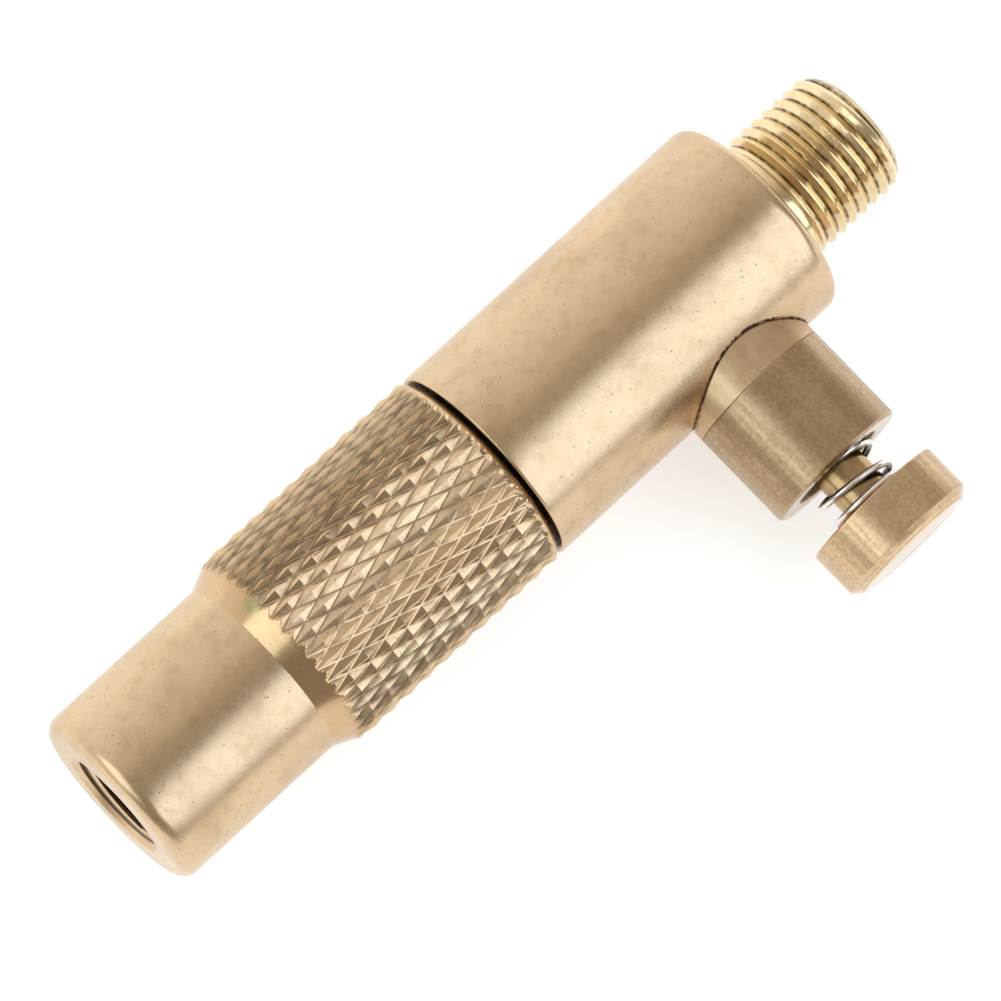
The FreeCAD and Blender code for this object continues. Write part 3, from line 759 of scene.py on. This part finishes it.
def make_nipple(material):
    """The threaded inlet, with a plain neck at the shoulder and a bevelled run-out at its end."""
    run_in_length = 0.5
    run_out_length, bevel_length, bevel_height = 1.1, 0.35, 0.4
    end_radius = THREAD_RADIUS - 0.85
    foot_length, foot_radius = 0.12, THREAD_RADIUS - 0.1
    bore_bevel = 0.3
    theta = angles(192)
    skin = Skin()

    def surface(along, angle):
        height = thread_height(along / INLET_PITCH - angle / TURN, crest=0.09, root=0.05)
        radius = THREAD_RADIUS - INLET_THREAD_DEPTH * (1 - height)
        run_in = np.clip((along - NECK_LENGTH) / run_in_length, 0, 1)
        radius = radius * run_in + NECK_RADIUS * (1 - run_in)
        limit = np.interp(
            THREAD_END - along,
            (0, bevel_length, run_out_length),
            (end_radius, end_radius + bevel_height, THREAD_RADIUS),
        )
        return MAIN.points(along, np.minimum(radius, limit), angle)

    for along, radius in [
        (FILTER_BACK, FILTER_RADIUS),
        (FILTER_BACK, NIPPLE_BORE_RADIUS),
        (STUB_END, NIPPLE_BORE_RADIUS),
        (STUB_END, STUB_RADIUS),
        (-0.02, STUB_RADIUS),
        (0.0, foot_radius),
        (foot_length, foot_radius),
        (0.3, NECK_RADIUS),
    ]:
        skin.ring(MAIN.points(along, radius, theta))
    skin.helix(surface, NECK_LENGTH, THREAD_END, INLET_PITCH, rows=20, spokes=len(theta))
    for along, radius in [
        (THREAD_END, FILTER_RADIUS + bore_bevel),
        (THREAD_END - bore_bevel, FILTER_RADIUS),
        (FILTER_BACK, FILTER_RADIUS),
    ]:
        skin.ring(MAIN.points(along, radius, theta))
    nipple = skin.finish("inlet_thread", crease=35)
    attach(nipple, "barrel")
    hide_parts("inlet_nipple")
    return dress(nipple, material)


# ---------------------------------------------------------------- the twist sleeve

def knurl_depth(along, theta, pitch):
    """Depth of the diamond knurl, which two crossing sets of V grooves leave as pyramids. Each
    groove's own pressure varies a little, as the knurling wheel's did."""
    around = theta / TURN * KNURL_GROOVES
    pressure = np.random.default_rng(7).uniform(0.93, 1.05, (2, KNURL_GROOVES))
    flat = 1 / KNURL_STEPS
    depth = np.zeros_like(around)
    for row, lean in enumerate((1, -1)):
        phase = around + lean * along / pitch
        groove = np.round(phase).astype(int)
        off = np.abs(phase - groove)
        rise = np.clip((off - flat) / (0.5 - flat), 0, 1)
        depth = np.maximum(depth, KNURL_DEPTH * pressure[row, groove % KNURL_GROOVES] * (1 - rise))
    return depth


def make_sleeve(material):
    """One turned piece: knurled grip, cone and nose, with the outlet's thread and the bores."""
    knurl_run_in, rim_round, edge_bevel = 0.3, 0.12, 0.2
    spigot_bore = SPIGOT_THREAD_RADIUS + 0.05
    spokes = KNURL_GROOVES * KNURL_STEPS
    grip = KNURL_LENGTH + CONE_LENGTH
    rows = round((grip - MOUTH_BEVEL) * KNURL_STEPS / KNURL_LEAD)
    row_step = (grip - MOUTH_BEVEL) / rows
    skin = Skin()

    def grip_surface(along, theta):
        past = along - MOUTH_BEVEL
        depth = knurl_depth(past, theta, row_step * KNURL_STEPS)
        depth = depth * np.clip(past / knurl_run_in, 0, 1)
        fall = (along - KNURL_LENGTH) / CONE_LENGTH
        cone = KNURL_RADIUS + (NOSE_RADIUS - KNURL_RADIUS) * fall
        return SLEEVE.points(along, np.minimum(KNURL_RADIUS - depth, cone), theta)

    fine, coarse = angles(spokes), angles(spokes // 4)
    skin.ring(SLEEVE.points(edge_bevel, GUIDE_RADIUS, fine))
    skin.ring(SLEEVE.points(0.0, GUIDE_RADIUS + edge_bevel, fine))
    skin.ring(SLEEVE.points(0.0, KNURL_RADIUS - MOUTH_BEVEL, fine))
    stations = MOUTH_BEVEL + row_step * np.arange(rows + 1)[:, None]
    middles = stations[:-1] + row_step / 2
    skin.relief(grip_surface(stations, np.broadcast_to(fine, (rows + 1, spokes))),
                grip_surface(middles, np.broadcast_to(angles(spokes, 0.5), (rows, spokes))))
    thread_start = SLEEVE_LENGTH - OUTLET_BEVEL
    nose = rounded([
        (grip + 0.02, NOSE_RADIUS, 0),
        (SLEEVE_LENGTH, NOSE_RADIUS, NOSE_ROUND),
        (SLEEVE_LENGTH, OUTLET_RADIUS + OUTLET_BEVEL, rim_round),
        (thread_start, OUTLET_RADIUS, 0),
    ], steps=8)
    for along, radius in divided(nose, 1.0):
        skin.ring(SLEEVE.points(along, radius, coarse))

    def outlet_surface(along, theta):
        height = thread_height(along / OUTLET_PITCH - theta / TURN, crest=0.14, root=0.2)
        run_in = np.clip((thread_start - along) / 0.25, 0, 1)
        return SLEEVE.points(along, OUTLET_RADIUS - OUTLET_THREAD_DEPTH * height * run_in, theta)

    skin.helix(outlet_surface, thread_start, GASKET_END, OUTLET_PITCH, rows=12, spokes=len(coarse))
    for along, radius in [
        (GASKET_END, GASKET_RADIUS),
        (GASKET_START, GASKET_RADIUS),
        (GASKET_START, WEB_HOLE_RADIUS),
        (SEAT_END, WEB_HOLE_RADIUS),
        (SEAT_END, SEAT_RADIUS),
        (SEAT_FACE, SEAT_RADIUS),
        (SEAT_FACE, RETAINER_RADIUS),
        (RETAINER_START, RETAINER_RADIUS),
        (RETAINER_START, spigot_bore),
        (GUIDE_LENGTH, spigot_bore),
        (GUIDE_LENGTH, GUIDE_RADIUS),
        (GROOVE_END, GUIDE_RADIUS),
        (GROOVE_END, GROOVE_RADIUS),
        (GROOVE_START, GROOVE_RADIUS),
        (GROOVE_START, GUIDE_RADIUS),
    ]:
        skin.ring(SLEEVE.points(along, radius, coarse))
    skin.ring(SLEEVE.points(edge_bevel, GUIDE_RADIUS, fine))
    sleeve = skin.finish("knurled_grip", crease=14)
    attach(sleeve, "sleeve")
    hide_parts("knurled_sleeve")
    return dress(sleeve, material)


# ---------------------------------------------------------------- the side button

def make_saddle(material):
    """The collar between the round barrel and the flat housing, with an undercut foot."""
    theta = angles(192)

    def seat(radius):
        return np.sqrt(BARREL_RADIUS ** 2 - (radius * np.sin(theta)) ** 2)

    undercut, undercut_height = BOSS_RADIUS - 0.16, 0.12
    skin = Skin()
    for along, radius in [
        (seat(SPIGOT_RADIUS), SPIGOT_RADIUS),
        (seat(undercut), undercut),
        (seat(undercut) + undercut_height, undercut),
        (seat(BOSS_RADIUS) + undercut_height + 0.1, BOSS_RADIUS),
        (SADDLE_SEAM, BOSS_RADIUS),
        (SADDLE_SEAM, SPIGOT_RADIUS),
        (seat(SPIGOT_RADIUS), SPIGOT_RADIUS),
    ]:
        skin.ring(BUTTON.points(along, radius, theta))
    ring = skin.finish("saddle_collar")
    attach(ring, "barrel")
    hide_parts("saddle_ring")
    return dress(ring, material)


def make_housing(material):
    """The turned shell that guides the stem, with its spigot, seal groove and spring pocket."""
    spring_floor = HOUSING_END - SPRING_POCKET_DEPTH
    stem_bore = STEM_RADIUS + STEM_CLEARANCE
    groove_start, section = 5.9, 0.8
    seam_drop, seam_length = 0.08, 0.16
    end_drop, end_length = 0.2, 0.18
    profile = rounded([
        (HOUSING_SEAT, stem_bore, 0),
        (HOUSING_SEAT, SPIGOT_RADIUS, 0.1),
        (groove_start, SPIGOT_RADIUS, 0),
        (groove_start, SPIGOT_RADIUS - section, 0),
        (groove_start + section, SPIGOT_RADIUS - section, 0),
        (groove_start + section, SPIGOT_RADIUS, 0),
        (SADDLE_SEAM, SPIGOT_RADIUS, 0),
        (SADDLE_SEAM, BOSS_RADIUS - seam_drop, 0),
        (SADDLE_SEAM + seam_length, BOSS_RADIUS, 0),
        (HOUSING_END - end_length, BOSS_RADIUS, 0),
        (HOUSING_END, BOSS_RADIUS - end_drop, 0),
        (HOUSING_END, SPRING_POCKET_RADIUS, 0.12),
        (spring_floor, SPRING_POCKET_RADIUS, 0),
        (spring_floor, stem_bore, 0),
    ])
    housing = weighted(lathe("housing_shell", BUTTON, profile))
    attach(housing, "barrel")
    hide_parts("button_housing")
    return dress(housing, material)


def make_plunger(material):
    """The stem with its stud for the cap, and the head with a groove for its seal."""
    groove_floor, groove_outer, groove_inner = 4.35, 3.0, 2.2
    profile = rounded([
        (PLUNGER_BACK, 0, 0),
        (PLUNGER_BACK, HEAD_RADIUS, 0.15),
        (HEAD_FACE, HEAD_RADIUS, 0),
        (HEAD_FACE, groove_outer, 0),
        (groove_floor, groove_outer, 0),
        (groove_floor, groove_inner, 0),
        (HEAD_FACE, groove_inner, 0),
        (HEAD_FACE, STEM_RADIUS, 0),
        (CAP_START, STEM_RADIUS, 0.06),
        (CAP_START, CAP_STUD_RADIUS, 0),
        (STUD_END, CAP_STUD_RADIUS, 0),
        (STUD_END, 0, 0),
    ])
    plunger = weighted(lathe("button_stem", BUTTON, profile, spokes=96))
    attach(plunger, "button")
    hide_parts("button_plunger")
    return dress(plunger, material)


def make_cap(material):
    """The round push button, bevelled at its outer end and hollow for the stem's stud."""
    bevel_length, bevel_drop = 0.62, 0.7
    profile = rounded([
        (STUD_END, 0, 0),
        (STUD_END, CAP_STUD_RADIUS, 0),
        (CAP_START, CAP_STUD_RADIUS, 0),
        (CAP_START, BOSS_RADIUS, 0.12),
        (CAP_END - bevel_length, BOSS_RADIUS, 0.05),
        (CAP_END, BOSS_RADIUS - bevel_drop, 0.05),
        (CAP_END, 0, 0),
    ])
    cap = weighted(lathe("push_cap", BUTTON, profile))
    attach(cap, "button")
    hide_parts("button_cap")
    return dress(cap, material)


def make_spring(material):
    """A compression spring with closed ends, which the button squashes."""
    wire = SPRING_WIRE / 2
    section_radius = wire + 0.03
    mean = SPRING_RADIUS - wire
    low, high = SPRING_FLOOR + wire, SPRING_TOP - wire
    closed_turns = 0.9
    closed_rise = closed_turns * SPRING_WIRE
    active_rise = high - low - 2 * closed_rise
    active_turns = active_rise / SPRING_PITCH
    turns = 2 * closed_turns + active_turns
    upper_strand = HOUSING_END + 1.8
    top_turn = closed_turns + (upper_strand - low - closed_rise) / SPRING_PITCH
    steps_a_turn = 48
    steps = round(turns * steps_a_turn)
    around = angles(16)[:, None]
    skin = Skin()
    for k in range(steps + 1):
        turn = turns * k / steps
        lower = min(turn, closed_turns) * SPRING_WIRE
        middle = min(max(turn - closed_turns, 0), active_turns) * SPRING_PITCH
        upper = max(turn - closed_turns - active_turns, 0) * SPRING_WIRE
        angle = TURN / 4 + (top_turn - turn) * TURN
        centre = BUTTON.points(low + lower + middle + upper, mean, angle)
        outward = BUTTON.points(0, 1, angle) - BUTTON.origin
        section = section_radius * (np.cos(around) * outward + np.sin(around) * BUTTON.along)
        if k == 0:
            skin.ring(centre + 0 * section)
        skin.ring(centre + section)
    skin.ring(centre + 0 * section)
    spring = skin.finish("coil_spring", crease=60)
    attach(spring, "barrel")
    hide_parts("return_spring")
    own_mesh(spring)
    return dress(spring, material)


satin_brass = make_satin_brass()
thread_brass = make_thread_brass()
stem_brass = make_stem_brass()
turned_brass = make_turned_brass("turned_brass", 0.9, "X")
make_barrel(satin_brass)
make_nipple(thread_brass)
make_sleeve(make_knurled_brass())
make_saddle(make_collar_brass())
make_housing(make_turned_brass("housing_brass", 0.78))
make_plunger(stem_brass)
make_cap(make_turned_brass("cap_brass", 1.06))
make_spring(make_spring_steel())

# The pieces that keep their CAD shape, and the CAD nodes under the detailed ones.
FINISHES = {
    satin_brass: ("valve_body", "knurled_sleeve", "saddle_ring"),
    thread_brass: ("inlet_nipple",),
    turned_brass: (
        "needle_carrier", "seat_retainer", "button_housing", "button_cap", "return_spring",
    ),
    stem_brass: ("needle_lock_nut", "button_plunger"),
    make_sintered_bronze(): ("inlet_filter",),
    make_needle_steel(): ("valve_needle",),
    make_seal_rubber(): (
        "nipple_o_ring", "sleeve_o_ring", "outlet_gasket", "housing_o_ring", "plunger_o_ring",
    ),
    make_seat_plastic(): ("sleeve_backup_ring", "valve_seat"),
}
for material, nodes in FINISHES.items():
    for node in nodes:
        dress(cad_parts[node], material)


# ---------------------------------------------------------------- floor, light, camera

FLOOR_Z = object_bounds()[0].z
FLOOR_HALF_SIDE = 6.0
AIM = Vector((-27.26, -2.51, -0.37)) * MM
AZIMUTH, ELEVATION, ROLL = (math.radians(v) for v in (-59.70, 76.74, 16.41))
CAMERA_DISTANCE = 0.5486
FOCAL_LENGTH, SENSOR_WIDTH = 287.7, 36.0
WARM, NEUTRAL = (1.0, 0.91, 0.80), (1.0, 1.0, 1.0)


def view_axes():
    """The camera's right, up and back directions."""
    back = Vector((
        math.sin(AZIMUTH) * math.cos(ELEVATION),
        -math.cos(AZIMUTH) * math.cos(ELEVATION),
        math.sin(ELEVATION),
    ))
    level = Vector((0, 0, 1)).cross(back).normalized()
    turn = Matrix.Rotation(ROLL, 3, back)
    return turn @ level, turn @ back.cross(level), back


def make_floor():
    """A pale floor that glows a little, more on the far side of the valve."""
    side = FLOOR_HALF_SIDE
    corners = [(-side, -side), (side, -side), (side, side), (-side, side)]
    mesh = bpy.data.meshes.new("floor")
    mesh.from_pydata([(x, y, FLOOR_Z) for x, y in corners], [], [(0, 1, 2, 3)])
    floor = bpy.data.objects.new("floor", mesh)
    bpy.context.scene.collection.objects.link(floor)
    graph = Graph("pale_floor", metallic=0.0)
    graph.shader.inputs["Emission Color"].default_value = (1, 1, 1, 1)
    far = graph.between(graph.part(graph.place, "Y"), -60, 60, 0.48, 0.62)
    graph.feed(graph.shader.inputs["Emission Strength"], far)
    tint = graph.mix(graph.noise(0.02, 3), FLOOR_PAINT, FLOOR_SHADE)
    dress(floor, graph.finish(tint, 0.9))


def soft_box(name, across, upward, width, height, radiance, colour, distance):
    """A rectangular light beside the camera, its distance in metres. Its direction and half sizes
    are in degrees, across and up the camera's view."""
    right, up, back = view_axes()
    light = bpy.data.lights.new(name, "AREA")
    light.shape = "RECTANGLE"
    light.size = 2 * distance * math.tan(math.radians(width))
    light.size_y = 2 * distance * math.tan(math.radians(height))
    light.color = colour
    light.energy = radiance * math.pi * light.size * light.size_y
    obj = bpy.data.objects.new(name, light)
    bpy.context.scene.collection.objects.link(obj)
    level = right * math.sin(math.radians(across)) + back * math.cos(math.radians(across))
    toward = level * math.cos(math.radians(upward)) + up * math.sin(math.radians(upward))
    side = up.cross(toward).normalized()
    obj.location = AIM + toward * distance
    obj.rotation_mode = "QUATERNION"
    turned = Matrix((side, toward.cross(side), toward)).transposed()
    obj.rotation_quaternion = turned.to_quaternion()


def make_world():
    """A dim warm room that is lighter on the far side."""
    world = bpy.data.worlds.new("studio")
    bpy.context.scene.world = world
    world.use_nodes = True
    tree = world.node_tree
    tree.nodes.clear()
    output = tree.nodes.new("ShaderNodeOutputWorld")
    background = tree.nodes.new("ShaderNodeBackground")
    place = tree.nodes.new("ShaderNodeTexCoord")
    parts = tree.nodes.new("ShaderNodeSeparateXYZ")
    spread = tree.nodes.new("ShaderNodeMapRange")
    ramp = tree.nodes.new("ShaderNodeValToRGB")
    spread.inputs["From Min"].default_value = -1
    tree.links.new(place.outputs["Generated"], parts.inputs[0])
    tree.links.new(parts.outputs["Y"], spread.inputs["Value"])
    tree.links.new(spread.outputs["Result"], ramp.inputs["Fac"])
    tree.links.new(ramp.outputs["Color"], background.inputs["Color"])
    tree.links.new(background.outputs["Background"], output.inputs["Surface"])
    stops = [
        (0.0, 0.40, WARM),
        (0.35, 0.35, WARM),
        (0.5, 0.48, WARM),
        (0.69, 0.82, WARM),
        (0.85, 0.92, NEUTRAL),
        (1.0, 1.2, NEUTRAL),
    ]
    elements = ramp.color_ramp.elements
    while len(elements) < len(stops):
        elements.new(0.5)
    for element, (place_at, level, tint) in zip(elements, stops):
        element.position = place_at
        element.color = (*toned(tint, level), 1)


def make_camera():
    """A long lens above the valve, looking down on it, rolled so that the axis runs diagonally."""
    right, up, back = view_axes()
    data = bpy.data.cameras.new("camera")
    data.lens = FOCAL_LENGTH
    data.sensor_width = SENSOR_WIDTH
    data.clip_start, data.clip_end = 0.01, 20
    camera = bpy.data.objects.new("camera", data)
    bpy.context.scene.collection.objects.link(camera)
    camera.rotation_mode = "QUATERNION"
    camera.rotation_quaternion = Matrix((right, up, back)).transposed().to_quaternion()
    camera.location = AIM + back * CAMERA_DISTANCE
    bpy.context.scene.camera = camera


make_floor()
make_world()
soft_box(
    "right_box", across=51, upward=-8, width=25, height=30,
    radiance=1.25, colour=(1.0, 1.17, 1.38), distance=0.32,
)
soft_box(
    "left_box", across=-41.5, upward=-13, width=17, height=23,
    radiance=1.1, colour=(0.95, 1.12, 1.2), distance=0.40,
)
make_camera()
bpy.context.scene.view_settings.view_transform = "Standard"
